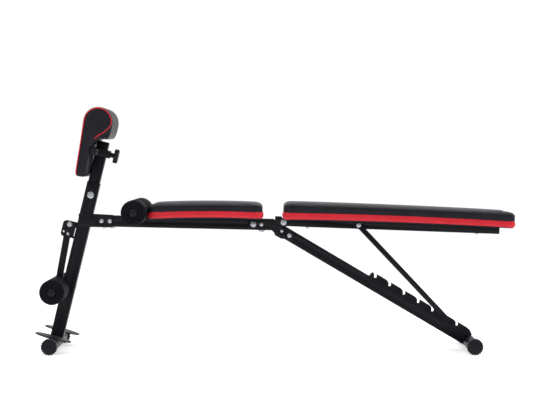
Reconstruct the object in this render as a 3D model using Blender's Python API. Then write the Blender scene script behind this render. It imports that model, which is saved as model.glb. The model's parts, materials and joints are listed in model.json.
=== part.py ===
"""Adjustable weight bench: a folding-back exercise bench with an arm-curl pad and foam leg rollers.

Frame: +Z up, floor at Z = 0, +X from the curl pad towards the head end of the backrest, and the
origin on the floor under the middle of the bench.  All sizes are in metres and degrees.

The steel frame is laid out in the XZ plane.  Each sloping member has its own empty, turned about
the Y axis, and its pieces are modelled straight in that empty's frame.
"""

import math

import bmesh
import bpy
from mathutils import Vector

# ---------------------------------------------------------------- driving dimensions

# Clearances
GAP = 0.0003                 # between pieces that touch
RUNNING = 0.0004             # round a turning shaft, on the radius
SLIDING = 0.0004             # round a sliding tube, each side

# Overall
BENCH_WIDTH = 0.400          # over the crossbar end caps, and over the rollers
FOOT_SPACING = 1.2812        # front crossbar to rear crossbar
REAR_X = 0.600               # rear crossbar
FRONT_X = REAR_X - FOOT_SPACING

# Crossbars and their ribbed end caps
CROSSBAR_RADIUS = 0.019
CROSSBAR_WALL = 0.002
CAP_RADIUS = 0.025
CAP_RIB_DEPTH = 0.0018
CAP_RIBS = 18
CAP_END_WALL = 0.004
CAP_REACH = 0.022            # how far a cap sleeves over its tube
CROSSBAR_HEIGHT = CAP_RADIUS

# Front post: a square tube with a smaller one telescoping in it
POST_LEAN = math.radians(13.63)
POST_SIZE = 0.040
TUBE_WALL = 0.0018
POST_START = 0.008           # lower end, above the crossbar's axis
POST_TOP = 0.507
INNER_SIZE = POST_SIZE - 2 * TUBE_WALL - 2 * SLIDING
INNER_BOTTOM = 0.345
INNER_TOP = 0.634
INNER_CAP_THICKNESS = 0.003
HEIGHT_BOLT_UP = 0.467       # clamp bolt of the telescoping tube
HEIGHT_TRAVEL = 0.080        # how far the inner tube can be raised

# Foot plates on the front crossbar
FOOT_PLATE_LENGTH = 0.114
FOOT_PLATE_WIDTH = 0.092
FOOT_PLATE_THICKNESS = 0.004
FOOT_PLATE_LIFT = CROSSBAR_RADIUS + 0.0030
FOOT_PLATE_SLOPE = 0.026     # extra fall of a plate towards the rear
FOOT_PLATE_OUT = 0.127       # centre of a plate from the bench's centre line
FOOT_BLOCK_LENGTH = 0.022
FOOT_BLOCK_WIDTH = 0.044

# Seat beam
BEAM_SIZE = 0.035
SEAT_JOINT_UP = 0.3859       # where the beam's axis meets the post's, up the post
SEAT_FALL = math.radians(1.266)
BEAM_SET_OFF = 0.0055        # front end behind the post's rear face
BEAM_FRONT = POST_SIZE / 2 + BEAM_SET_OFF
BEAM_LENGTH = 0.5605
PLATE = 0.003                # thickness of every bracket plate
SADDLE_TOP = 0.0215          # above the beam's axis, at the post
SADDLE_BOTTOM = 0.0195       # below the beam's axis
SADDLE_TAPER = 0.030         # fall of its top edge per unit of length
SADDLE_REACH = 0.0865        # how far the saddle runs back along the beam
SADDLE_BOLTS = (0.0530, 0.0785)
SADDLE_UNDER_BOLTS = (0.0605, 0.0875)

# Seat cushion and its cross strap
SEAT_LENGTH = 0.352
SEAT_FRONT = 0.2010          # front edge behind the post's axis, along the beam
PAD_WIDTH = 0.270
PAD_THICKNESS = 0.045
SEAT_CROWN = 0.001           # extra height of the seat cushion
PAD_CORNER = 0.016
STRAP_THICKNESS = 0.0033
STRAP_LENGTH = 0.220
STRAP_WIDTH = 0.030
STRAP_INSET = 0.045          # strap centre from the cushion's rear end

# Foam rollers
FOAM_RADIUS = 0.038
FOAM_EDGE = 0.003            # soft edge at a roller's ends
AXLE_RADIUS = 0.0095
AXLE_WALL = 0.0015
ROLLER_INNER = 0.025         # inner end of a roller from the centre line
PLUG_RADIUS = 0.0125
PLUG_THICKNESS = 0.003
SLEEVE_RADIUS = 0.0141
SLEEVE_HALF = 0.0205
UPPER_ROLLER_ALONG = 0.1618

# Hinge: backrest pivot, seen from the seat beam, and from the rear leg
PIVOT_ALONG = 0.6155
PIVOT_OVER_BEAM = 0.0082
PIVOT_OVER_LEG = 0.0261
LEG_SIZE = BEAM_SIZE         # cut from the same tube, so that the hinge plates fit both
LEG_TOP_SHORT = 0.009        # leg's end short of the pivot's station, negative past it
HINGE_HUB = 0.0125
HINGE_LUG = 0.078            # how far a hinge plate overlaps the beam
HINGE_LEG_REACH = 0.053      # how far it runs down the leg from the pivot's station
HINGE_UNDERHANG = 0.0045     # how far its lower lobe hangs below the leg
BUSH_RADIUS = 0.007
SEAT_HINGE_BOLTS = (0.5220, 0.5468)
UNDER_BOLT_BACK = 0.0135     # bolt under the beam, behind the middle of those two
LEG_BOLTS = (0.0089, 0.0361)  # down the leg from the pivot's station

# Rear leg rack
RACK_TOP = 0.0340            # top edge above the leg's axis
RACK_BOTTOM = -0.004
RACK_HEAD = 0.3690           # upper end, up the leg from the rear crossbar
RACK_TAIL = 0.0040
SLOT_COUNT = 6
SLOT_PITCH = 0.0515
SLOT_LAST = 0.0936           # station of the flat-back slot, up the leg
DECLINE_STEP = 0.036         # from the flat-back slot to the decline slot
SLOT_HEIGHT = 0.0252         # slot bottom's centre above the leg's axis
PIN_RADIUS = 0.004
SLOT_RADIUS = 0.0050
RAMP_LENGTH = 0.0267         # ramped mouth of the flat-back slot

# Backrest
BACK_FALL = math.radians(2.1)
CHEEK_ROOM = 0.0075          # half the rail's extra width over the beam, which holds a hinge plate and a cheek
RAIL_WIDTH = BEAM_SIZE + 2 * CHEEK_ROOM
RAIL_HEIGHT = 0.025
RAIL_WALL = 0.002
RAIL_TOP = 0.0130            # above the pivot
RAIL_FRONT = 0.055
RAIL_END = 0.6645
BACK_LENGTH = 0.7095
BACK_FRONT = -0.0045
BACK_CROWN = 0.004           # extra height of the backrest cushion
CHEEK_NOSE = 0.027
CHEEK_NOSE_TOP = 0.0168
CHEEK_WELD = 0.085           # how far back the cheeks run along the rail
BACK_SCREWS = (0.075, 0.600)

# Support strut
STRUT_PIVOT_ALONG = 0.2317
STRUT_BAR_WIDTH = 0.016
STRUT_BAR_THICKNESS = 0.005
STRUT_BRACE_RADIUS = 0.005
STRUT_BRACE_FROM_PIVOT = 0.150

# Leg-roller arm
ARM_SIZE = 0.020
ARM_WALL = 0.0015
ARM_PIVOT_UP = 0.3634
ARM_PIVOT_OUT = 0.0423       # in front of the post's axis
ARM_TOP = 0.009
ARM_OFFSET = 0.003           # bar's middle in front of the line from its pivot to its axle
ARM_SWING = math.radians(33.0)
ARM_BOLT_DOWN = 0.0296
LOWER_AXLE_UP = 0.161
BRACKET_FRONT = 0.0632
BRACKET_LOW = 0.3235
BRACKET_HIGH = 0.3735
BRACKET_CORNER = 0.010
BRACKET_RECESS = (0.329, 0.357)
BRACKET_RECESS_DEPTH = 0.0040

# Curl pad, its carrier and its clamp knob
CARRIER_UP = 0.6015
CARRIER_HEIGHT = 0.024
CARRIER_BAR_RADIUS = 0.0118
BAR_SET_BACK = 0.0023        # bar axis behind the inner post's front face
CARRIER_BAR_OUT = INNER_SIZE / 2 - BAR_SET_BACK
CARRIER_BAR_END = 0.118
KNOB_BOSS_RADIUS = 0.012
KNOB_BOSS_END = 0.030
KNOB_NECK_RADIUS = 0.0075
KNOB_DISC_START = 0.0405
KNOB_DISC_END = 0.0545
KNOB_RADIUS = 0.024
KNOB_LOBES = 6
KNOB_LOBE_DEPTH = 0.0030
CURL_PAD_TILT = math.radians(9.0)
CURL_PAD_WIDTH = 0.260
CURL_SLAB = 0.0295           # thickness of the lower, flat part
CURL_ROLL_RADIUS = 0.0435
CURL_ROLL_UP = 0.1716
CURL_ROLL_SAG = 0.0040       # how far the roll hangs out at its lower back
CURL_DROP = 0.0808           # lower edge below the carrier bars

# Fasteners
M8 = 0.004
M6 = 0.003
WASHER_THICKNESS = 0.0015
ROUND = 32                   # sides of a large round piece
SMALL_ROUND = 18             # sides of a bolt or a hole

SIDES = (("left", -1), ("right", 1))


# ---------------------------------------------------------------- layout in the XZ plane

def place(origin, tilt, x, z):
    """Point (x, z) of a frame that sits at origin, turned by tilt about +Y."""
    return (
        origin[0] + x * math.cos(tilt) + z * math.sin(tilt),
        origin[1] - x * math.sin(tilt) + z * math.cos(tilt),
    )


def seen_from(origin, tilt, point):
    """The same point in the frame at origin turned by tilt: the inverse of place."""
    dx = point[0] - origin[0]
    dz = point[1] - origin[1]
    return (dx * math.cos(tilt) - dz * math.sin(tilt), dx * math.sin(tilt) + dz * math.cos(tilt))


POST_ORIGIN = (FRONT_X, CROSSBAR_HEIGHT)
REAR_ORIGIN = (REAR_X, CROSSBAR_HEIGHT)
SEAT_ORIGIN = place(POST_ORIGIN, POST_LEAN, 0.0, SEAT_JOINT_UP)
PIVOT = place(SEAT_ORIGIN, SEAT_FALL, PIVOT_ALONG, PIVOT_OVER_BEAM)

# The leg runs from the rear crossbar to just under the backrest pivot.
LEG_SPAN = math.dist(REAR_ORIGIN, PIVOT)
LEG_TILT = math.atan2(PIVOT[1] - CROSSBAR_HEIGHT, REAR_X - PIVOT[0]) - math.asin(PIVOT_OVER_LEG / LEG_SPAN)
LEG_STATION = math.sqrt(LEG_SPAN ** 2 - PIVOT_OVER_LEG ** 2)

# The strut joins the rail to the pin, which lies on the bottom of the flat-back slot.
STRUT_PIVOT = place(PIVOT, BACK_FALL, STRUT_PIVOT_ALONG, 0.0)
SLOT_CENTRE = place(REAR_ORIGIN, LEG_TILT, -SLOT_LAST, SLOT_HEIGHT)
PIN = (SLOT_CENTRE[0], SLOT_CENTRE[1] - (SLOT_RADIUS - PIN_RADIUS - GAP))
STRUT_LENGTH = math.dist(STRUT_PIVOT, PIN)
STRUT_TILT = math.atan2(STRUT_PIVOT[1] - PIN[1], PIN[0] - STRUT_PIVOT[0])

# The arm hangs from its pivot to the lower axle, which rests just clear of the post.
ARM_PIVOT = (-ARM_PIVOT_OUT, ARM_PIVOT_UP)
LOWER_AXLE = (-(POST_SIZE / 2 + AXLE_RADIUS + 0.0015), LOWER_AXLE_UP)
ARM_LENGTH = math.dist(ARM_PIVOT, LOWER_AXLE)
ARM_TILT = math.atan2(LOWER_AXLE[0] - ARM_PIVOT[0], ARM_PIVOT[1] - LOWER_AXLE[1])

AXLE_HALF = BENCH_WIDTH / 2 - PLUG_THICKNESS - GAP
HINGE_INNER = BEAM_SIZE / 2 + GAP
HINGE_OUTER = HINGE_INNER + PLATE
CHEEK_OUTER = RAIL_WIDTH / 2 - 0.0001
CHEEK_INNER = CHEEK_OUTER - PLATE
BAR_INNER = RAIL_WIDTH / 2 + 0.0004
BAR_OUTER = BAR_INNER + STRUT_BAR_THICKNESS


# ---------------------------------------------------------------- scene and materials

def clear_scene():
    for thing in list(bpy.data.objects):
        bpy.data.objects.remove(thing, do_unlink=True)


def make_material(name, colour, roughness, metallic):
    paint = bpy.data.materials.new(name)
    paint.use_nodes = True
    shader = paint.node_tree.nodes["Principled BSDF"]
    shader.inputs["Base Color"].default_value = (*colour, 1.0)
    shader.inputs["Roughness"].default_value = roughness
    shader.inputs["Metallic"].default_value = metallic
    return paint


clear_scene()
POWDER_COAT = make_material("black_powder_coat", (0.012, 0.012, 0.018), 0.45, 0.0)
ZINC = make_material("zinc_plate", (0.55, 0.56, 0.58), 0.35, 1.0)
FOAM = make_material("black_foam", (0.016, 0.016, 0.020), 0.90, 0.0)
VINYL = make_material("black_vinyl", (0.018, 0.017, 0.025), 0.40, 0.0)
RED_VINYL = make_material("black_and_red_vinyl", (0.040, 0.018, 0.025), 0.40, 0.0)
PLASTIC = make_material("black_plastic", (0.014, 0.014, 0.020), 0.35, 0.0)


def make_empty(name, origin, tilt, parent=None):
    """Empty in the XZ plane.  Origin and tilt are those of its parent's frame."""
    empty = bpy.data.objects.new(name, None)
    bpy.context.scene.collection.objects.link(empty)
    empty.parent = parent
    empty.location = (origin[0], 0.0, origin[1])
    empty.rotation_euler = (0.0, tilt, 0.0)
    return empty


# ---------------------------------------------------------------- outlines and solids

def circle(radius, sides=SMALL_ROUND):
    steps = [2 * math.pi * i / sides for i in range(sides)]
    return [(radius * math.cos(a), radius * math.sin(a)) for a in steps]


def hexagon(flats, sides=SMALL_ROUND):
    """Hexagon of the given width over flats, with as many points as a circle has."""
    points = []
    for i in range(sides):
        a = 2 * math.pi * i / sides
        to_flat = (a % (math.pi / 3)) - math.pi / 6
        radius = flats / 2 / math.cos(to_flat)
        points.append((radius * math.cos(a), radius * math.sin(a)))
    return points


def arc(centre, radius, start, end, steps):
    """Points of an arc, angles in degrees, both ends included."""
    points = []
    for i in range(steps + 1):
        a = math.radians(start + (end - start) * i / steps)
        points.append((centre[0] + radius * math.cos(a), centre[1] + radius * math.sin(a)))
    return points


def rounded_rectangle(low, high, radius, steps=3):
    """Rectangle between two corners, counter-clockwise, with round corners."""
    (x0, z0), (x1, z1) = low, high
    corners = (
        ((x1 - radius, z0 + radius), -90),
        ((x1 - radius, z1 - radius), 0),
        ((x0 + radius, z1 - radius), 90),
        ((x0 + radius, z0 + radius), 180),
    )
    points = []
    for centre, start in corners:
        points += arc(centre, radius, start, start + 90, steps)
    return points


def square_outline(size, radius):
    return rounded_rectangle((-size / 2, -size / 2), (size / 2, size / 2), radius)


def on_axis(outline, axis, position):
    """Lift a flat outline to 3-D: axis x gives (y, z), y gives (x, z), z gives (x, y)."""
    if axis == "x":
        return [Vector((position, u, v)) for u, v in outline]
    if axis == "y":
        return [Vector((u, position, v)) for u, v in outline]
    return [Vector((u, v, position)) for u, v in outline]


def solid(name, rings, material, parent, centre=(0.0, 0.0, 0.0), looped=False):
    """Skin a run of rings with faces.  A looped run closes on itself, as a tube's wall does."""
    mesh = bpy.data.meshes.new(name)
    shape = bmesh.new()
    loops = [[shape.verts.new(p) for p in ring] for ring in rings]
    pairs = list(zip(loops, loops[1:]))
    if looped:
        pairs.append((loops[-1], loops[0]))
    else:
        shape.faces.new(loops[0])
        shape.faces.new(reversed(loops[-1]))
    for a, b in pairs:
        count = len(a)
        for i in range(count):
            j = (i + 1) % count
            shape.faces.new((a[i], b[i], b[j], a[j]))
    bmesh.ops.recalc_face_normals(shape, faces=shape.faces)
    shape.to_mesh(mesh)
    shape.free()
    mesh.shade_smooth()
    mesh.set_sharp_from_angle(angle=math.radians(32))
    mesh.materials.append(material)
    piece = bpy.data.objects.new(name, mesh)
    bpy.context.scene.collection.objects.link(piece)
    piece.parent = parent
    piece.location = centre
    return piece


def tube(name, outer, inner, axis, span, material, parent, centre=(0.0, 0.0, 0.0)):
    """Open tube between two outlines with the same number of points."""
    start, end = span
    rings = [
        on_axis(outer, axis, start),
        on_axis(outer, axis, end),
        on_axis(inner, axis, end),
        on_axis(inner, axis, start),
    ]
    return solid(name, rings, material, parent, centre, looped=True)


def square_tube(name, size, wall, axis, span, material, parent):
    corner = 0.003
    return tube(
        name,
        square_outline(size, corner),
        square_outline(size - 2 * wall, corner - wall / 2),
        axis, span, material, parent,
    )


def plate(name, outline, y_span, material, parent):
    """Flat plate lying in the XZ plane."""
    low, high = sorted(y_span)
    return solid(name, [on_axis(outline, "y", low), on_axis(outline, "y", high)], material, parent)


def block(name, low, high, material, parent):
    """Box between two corners."""
    outline = [(low[0], low[2]), (high[0], low[2]), (high[0], high[2]), (low[0], high[2])]
    return plate(name, outline, (low[1], high[1]), material, parent)


def as_tool(piece):
    """Mark a piece as a cutting or joining tool, which is not part of the bench."""
    piece.hide_render = True
    piece.display_type = "WIRE"
    return piece


def combine(piece, operation, *tools):
    for tool in tools:
        as_tool(tool)
        step = piece.modifiers.new(operation.lower(), "BOOLEAN")
        step.operation = operation
        step.solver = "EXACT"
        step.object = tool


def cross_hole(name, x, z, radius, parent, half=0.060):
    """Round tool along Y, for a hole across the frame."""
    outline = [(x + u, z + v) for u, v in circle(radius)]
    return as_tool(plate(name, outline, (-half, half), ZINC, parent))


def side_span(side, inner, outer):
    return (side * inner, side * outer)


# ---------------------------------------------------------------- fasteners

def bolt_rings(axis, grip, radius, flats, washer, head, nut=True):
    """Rings of a bolt: hexagon head and washer at the low end, washer and nut at the high end."""
    low, high = grip
    chamfer = 0.12 * head
    rings = [
        on_axis(hexagon(0.86 * flats), axis, low - GAP - WASHER_THICKNESS - head),
        on_axis(hexagon(flats), axis, low - GAP - WASHER_THICKNESS - head + chamfer),
        on_axis(hexagon(flats), axis, low - GAP - WASHER_THICKNESS),
        on_axis(circle(washer), axis, low - GAP - WASHER_THICKNESS),
        on_axis(circle(washer), axis, low - GAP),
        on_axis(circle(radius), axis, low - GAP),
        on_axis(circle(radius), axis, high + GAP if nut else high),
    ]
    if nut:
        rings += [
            on_axis(circle(washer), axis, high + GAP),
            on_axis(circle(washer), axis, high + GAP + WASHER_THICKNESS),
            on_axis(hexagon(flats), axis, high + GAP + WASHER_THICKNESS),
            on_axis(hexagon(flats), axis, high + GAP + WASHER_THICKNESS + head - chamfer),
            on_axis(hexagon(0.86 * flats), axis, high + GAP + WASHER_THICKNESS + head),
            on_axis(circle(radius), axis, high + GAP + WASHER_THICKNESS + head),
            on_axis(circle(radius), axis, high + GAP + WASHER_THICKNESS + head + radius / 2),
        ]
    return rings


def cross_bolt(name, x, z, half_grip, parent, holds, radius=M8, flats=0.013, washer=0.009, head=0.0053):
    """Bolt across the frame at (x, z), with its clearance hole through every piece it holds."""
    rings = bolt_rings("y", (-half_grip, half_grip), radius, flats, washer, head)
    bolt = solid(name, rings, ZINC, parent, (x, 0.0, z))
    hole = cross_hole("hole_" + name, x, z, radius + RUNNING, parent)
    for piece in holds:
        combine(piece, "DIFFERENCE", hole)
    return bolt


def upright_bolt(name, x, grip, parent, holds, radius=M6, flats=0.010, washer=0.0075, head=0.004):
    """Bolt from below, head down, into the underside of a beam."""
    rings = bolt_rings("z", grip, radius, flats, washer, head, nut=False)
    bolt = solid(name, rings, ZINC, parent, (x, 0.0, 0.0))
    low, high = grip
    reach = high - low
    hole_rings = [on_axis(circle(radius + RUNNING), "z", z) for z in (low - reach, high + reach)]
    hole = as_tool(solid("hole_" + name, hole_rings, ZINC, parent, (x, 0.0, 0.0)))
    for piece in holds:
        combine(piece, "DIFFERENCE", hole)
    return bolt


# ---------------------------------------------------------------- crossbars

def ribbed_outline(radius, depth):
    """Outline of the moulded ribs.  One rib's flat faces straight down."""
    half = math.pi / CAP_RIBS
    points = []
    for i in range(CAP_RIBS):
        middle = -math.pi / 2 + 2 * half * i
        for share, level in ((-0.75, radius - depth), (-0.45, radius), (0.45, radius), (0.75, radius - depth)):
            a = middle + share * half
            reach = level / math.cos(0.45 * half)
            points.append((reach * math.cos(a), reach * math.sin(a)))
    return points


def matching_circle(radius):
    """Circle with a point on each ray of the ribbed outline."""
    return [
        (radius * x / math.hypot(x, z), radius * z / math.hypot(x, z))
        for x, z in ribbed_outline(CAP_RADIUS, CAP_RIB_DEPTH)
    ]


def make_end_cap(name, side, parent):
    """Moulded cap sleeved over a crossbar's end; it is what the bench stands on."""
    outer_end = BENCH_WIDTH / 2
    tube_end = outer_end - CAP_END_WALL
    mouth = tube_end - CAP_REACH
    ribs = ribbed_outline(CAP_RADIUS, CAP_RIB_DEPTH)
    soft_edge = ribbed_outline(CAP_RADIUS - 0.0025, CAP_RIB_DEPTH)
    bore = matching_circle(CROSSBAR_RADIUS + GAP)
    rings = [
        on_axis(bore, "y", side * (tube_end + GAP)),
        on_axis(bore, "y", side * mouth),
        on_axis(soft_edge, "y", side * mouth),
        on_axis(ribs, "y", side * (mouth + 0.002)),
        on_axis(ribs, "y", side * (outer_end - 0.003)),
        on_axis(soft_edge, "y", side * outer_end),
    ]
    return solid(name, rings, PLASTIC, parent)


def make_crossbar(name, parent):
    half = BENCH_WIDTH / 2 - CAP_END_WALL
    return tube(
        name,
        circle(CROSSBAR_RADIUS, ROUND),
        circle(CROSSBAR_RADIUS - CROSSBAR_WALL, ROUND),
        "y", (-half, half), POWDER_COAT, parent,
    )


def crossbar_tool(name, parent):
    """The crossbar's outside with its clearance, for tubes and plates that sit on it."""
    return as_tool(
        plate(name, circle(CROSSBAR_RADIUS + GAP, ROUND), (-BENCH_WIDTH / 2, BENCH_WIDTH / 2), POWDER_COAT, parent)
    )


bench = make_empty("bench", (0.0, 0.0), 0.0)
front_foot = make_empty("front_foot", POST_ORIGIN, 0.0, bench)
rear_foot = make_empty("rear_foot", REAR_ORIGIN, 0.0, bench)

make_crossbar("front_crossbar", front_foot)
make_crossbar("rear_crossbar", rear_foot)
for label, side in SIDES:
    make_end_cap("front_cap_" + label, side, front_foot)
    make_end_cap("rear_cap_" + label, side, rear_foot)


# ---------------------------------------------------------------- front post

post_frame = make_empty("post_frame", POST_ORIGIN, POST_LEAN, bench)

post_outer = square_tube("post_outer", POST_SIZE, TUBE_WALL, "z", (POST_START, POST_TOP), POWDER_COAT, post_frame)
combine(post_outer, "DIFFERENCE", crossbar_tool("front_crossbar_tool", post_frame))

post_inner = square_tube("post_inner", INNER_SIZE, TUBE_WALL, "z", (INNER_BOTTOM, INNER_TOP), POWDER_COAT, post_frame)


def make_height_slot():
    """Long hole in the inner tube, so that it can be raised past the clamp bolt."""
    radius = M8 + RUNNING
    outline = arc((0.0, HEIGHT_BOLT_UP), radius, 0, 180, 8)
    outline += arc((0.0, HEIGHT_BOLT_UP - HEIGHT_TRAVEL), radius, 180, 360, 8)
    return as_tool(plate("height_slot", outline, (-POST_SIZE, POST_SIZE), ZINC, post_frame))


combine(post_inner, "DIFFERENCE", make_height_slot())
cross_bolt(
    "height_clamp_bolt", 0.0, HEIGHT_BOLT_UP, POST_SIZE / 2, post_frame, [post_outer], washer=0.0105, flats=0.014,
)


def make_post_cap():
    """Plastic cap pressed into the top of the inner tube."""
    plug = INNER_SIZE / 2 - TUBE_WALL - SLIDING
    rim = square_outline(INNER_SIZE, 0.003)
    stem = square_outline(2 * plug, 0.002)
    rings = [
        on_axis(stem, "z", INNER_TOP - 0.012),
        on_axis(stem, "z", INNER_TOP + GAP),
        on_axis(rim, "z", INNER_TOP + GAP),
        on_axis(rim, "z", INNER_TOP + INNER_CAP_THICKNESS - 0.001),
        on_axis(square_outline(INNER_SIZE - 0.003, 0.003), "z", INNER_TOP + INNER_CAP_THICKNESS),
    ]
    return solid("post_cap", rings, PLASTIC, post_frame)


make_post_cap()


# ---------------------------------------------------------------- foot plates

def make_foot_plate(label, side):
    """Oval tread plate on a block that is welded to the crossbar."""
    oval = [
        (FOOT_PLATE_LENGTH / 2 * math.cos(a), FOOT_PLATE_WIDTH / 2 * math.sin(a))
        for a in (2 * math.pi * i / ROUND for i in range(ROUND))
    ]
    centre = (0.0, side * FOOT_PLATE_OUT, 0.0)
    rings = []
    for scale, height in ((0.97, 0.0), (1.0, 0.001), (1.0, FOOT_PLATE_THICKNESS - 0.001), (0.97, FOOT_PLATE_THICKNESS)):
        level = FOOT_PLATE_LIFT + height
        rings.append([Vector((scale * x, scale * y, level - FOOT_PLATE_SLOPE * x)) for x, y in oval])
    tread = solid("foot_plate_" + label, rings, POWDER_COAT, post_frame, centre)
    support = block(
        "foot_block_" + label,
        (-FOOT_BLOCK_LENGTH / 2, -FOOT_BLOCK_WIDTH / 2, CROSSBAR_RADIUS / 2),
        (FOOT_BLOCK_LENGTH / 2, FOOT_BLOCK_WIDTH / 2, FOOT_PLATE_LIFT + FOOT_PLATE_THICKNESS / 2),
        POWDER_COAT, post_frame,
    )
    support.location = (0.0, side * (FOOT_PLATE_OUT - FOOT_BLOCK_WIDTH / 4), 0.0)
    combine(tread, "UNION", support)
    combine(tread, "DIFFERENCE", crossbar_tool("crossbar_tool_" + label, post_frame))


for label, side in SIDES:
    make_foot_plate(label, side)


# ---------------------------------------------------------------- seat beam and saddle

seat_frame = make_empty("seat_frame", SEAT_ORIGIN, SEAT_FALL, bench)
seat_beam = square_tube(
    "seat_beam", BEAM_SIZE, TUBE_WALL, "x", (BEAM_FRONT, BEAM_FRONT + BEAM_LENGTH), POWDER_COAT, seat_frame,
)


def make_saddle(label, side):
    """Joggled side plate, welded over the post's side and bolted to the beam's."""
    joggle_start = POST_SIZE / 2 + 0.0045
    joggle_end = joggle_start + 0.0040
    wide = POST_SIZE / 2 + GAP
    narrow = HINGE_INNER
    front = -POST_SIZE / 2 + 0.002
    outline = [
        (front, side * wide),
        (joggle_start, side * wide),
        (joggle_end, side * narrow),
        (SADDLE_REACH, side * narrow),
        (SADDLE_REACH, side * (narrow + PLATE)),
        (joggle_end + 0.001, side * (narrow + PLATE)),
        (joggle_start + 0.001, side * (wide + PLATE)),
        (front, side * (wide + PLATE)),
    ]
    low = on_axis(outline, "z", -SADDLE_BOTTOM)
    high = [Vector((x, y, SADDLE_TOP - SADDLE_TAPER * (x - front))) for x, y in outline]
    return solid("saddle_" + label, [low, high], POWDER_COAT, seat_frame)


saddles = [make_saddle(label, side) for label, side in SIDES]
for number, along in enumerate(SADDLE_BOLTS, 1):
    cross_bolt(
        "saddle_bolt_%d" % number, along, 0.0, HINGE_OUTER, seat_frame, [seat_beam, *saddles],
        radius=M6, flats=0.010, washer=0.0065, head=0.004,
    )
for number, along in enumerate(SADDLE_UNDER_BOLTS, 1):
    upright_bolt(
        "saddle_under_bolt_%d" % number, along, (-BEAM_SIZE / 2, -BEAM_SIZE / 2 + 0.010), seat_frame, [seat_beam],
    )


# ---------------------------------------------------------------- seat cushion

def cushion(name, start, length, base, parent, thickness=PAD_THICKNESS):
    """Plain cushion: the space that a padded seat fills, with round corners and a soft top edge."""
    def layer(inset, height):
        outline = rounded_rectangle(
            (start + inset, -PAD_WIDTH / 2 + inset),
            (start + length - inset, PAD_WIDTH / 2 - inset),
            PAD_CORNER, 4,
        )
        return on_axis(outline, "z", base + height)

    rings = [
        layer(0.003, 0.0),
        layer(0.0, 0.004),
        layer(0.0, thickness - 0.010),
        layer(0.003, thickness - 0.004),
        layer(0.009, thickness - 0.001),
        layer(0.024, thickness),
    ]
    return solid(name, rings, RED_VINYL, parent)


def make_seat():
    """The cushion is level, though its beam falls: it sits on a strap behind and straddles the beam in front."""
    base = BEAM_SIZE / 2 + GAP
    strap_back = SEAT_FRONT + SEAT_LENGTH - STRAP_INSET + STRAP_WIDTH / 2
    strap_front = strap_back - STRAP_WIDTH
    block(
        "seat_strap",
        (strap_front, -STRAP_LENGTH / 2, base),
        (strap_back, STRAP_LENGTH / 2, base + STRAP_THICKNESS),
        POWDER_COAT, seat_frame,
    )
    front_x = place(SEAT_ORIGIN, SEAT_FALL, SEAT_FRONT, 0.0)[0]
    underside = place(SEAT_ORIGIN, SEAT_FALL, strap_front, base + STRAP_THICKNESS)[1] + GAP
    level_frame = make_empty("seat_cushion_frame", (front_x, underside), 0.0, bench)
    seat = cushion("seat_cushion", 0.0, SEAT_LENGTH, 0.0, level_frame, PAD_THICKNESS + SEAT_CROWN)
    groove = block(
        "seat_groove",
        (SEAT_FRONT - PAD_CORNER, -BEAM_SIZE / 2 - SLIDING, -BEAM_SIZE),
        (SEAT_FRONT + SEAT_LENGTH, BEAM_SIZE / 2 + SLIDING, base),
        ZINC, seat_frame,
    )
    combine(seat, "DIFFERENCE", groove)


make_seat()


# ---------------------------------------------------------------- foam rollers

def make_axle(name, centre, parent, sleeve=False):
    """Round axle tube.  The fixed one has a thick sleeve welded round its middle."""
    skin = circle(AXLE_RADIUS, 24)
    bore = circle(AXLE_RADIUS - AXLE_WALL, 24)
    rings = [on_axis(bore, "y", -AXLE_HALF), on_axis(skin, "y", -AXLE_HALF)]
    if sleeve:
        collar = circle(SLEEVE_RADIUS, 24)
        rings += [on_axis(skin, "y", -SLEEVE_HALF), on_axis(collar, "y", -SLEEVE_HALF)]
        rings += [on_axis(collar, "y", SLEEVE_HALF), on_axis(skin, "y", SLEEVE_HALF)]
    rings += [on_axis(skin, "y", AXLE_HALF), on_axis(bore, "y", AXLE_HALF)]
    return solid(name, rings, POWDER_COAT, parent, centre, looped=True)


def make_roller(name, side, centre, parent):
    """Foam sleeve that turns on its axle."""
    bore = circle(AXLE_RADIUS + RUNNING, 24)
    skin = circle(FOAM_RADIUS, 24)
    edge = circle(FOAM_RADIUS - FOAM_EDGE, 24)
    inner = ROLLER_INNER
    outer = AXLE_HALF - GAP
    rings = [
        on_axis(bore, "y", side * inner),
        on_axis(edge, "y", side * inner),
        on_axis(skin, "y", side * (inner + FOAM_EDGE)),
        on_axis(skin, "y", side * (outer - FOAM_EDGE)),
        on_axis(edge, "y", side * outer),
        on_axis(bore, "y", side * outer),
    ]
    return solid(name, rings, FOAM, parent, centre, looped=True)


def make_tube_plug(name, side, tube_end, bore, parent, centre, radius=PLUG_RADIUS):
    """Domed plastic plug in an open round tube end."""
    stem = circle(bore - RUNNING, 24)
    rings = [
        on_axis(stem, "y", side * (tube_end - 0.014)),
        on_axis(stem, "y", side * (tube_end + GAP)),
        on_axis(circle(radius, 24), "y", side * (tube_end + GAP)),
        on_axis(circle(0.90 * radius, 24), "y", side * (tube_end + 0.6 * PLUG_THICKNESS)),
        on_axis(circle(0.45 * radius, 24), "y", side * (tube_end + PLUG_THICKNESS)),
    ]
    return solid(name, rings, PLASTIC, parent, centre)


upper_axle_centre = (UPPER_ROLLER_ALONG, 0.0, BEAM_SIZE / 2 + GAP + SLEEVE_RADIUS)
make_axle("upper_axle", upper_axle_centre, seat_frame, sleeve=True)
for label, side in SIDES:
    make_roller("upper_roller_" + label, side, upper_axle_centre, seat_frame)
    make_tube_plug(
        "upper_plug_" + label, side, AXLE_HALF, AXLE_RADIUS - AXLE_WALL, seat_frame, upper_axle_centre,
    )


# ---------------------------------------------------------------- leg-roller arm

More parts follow.
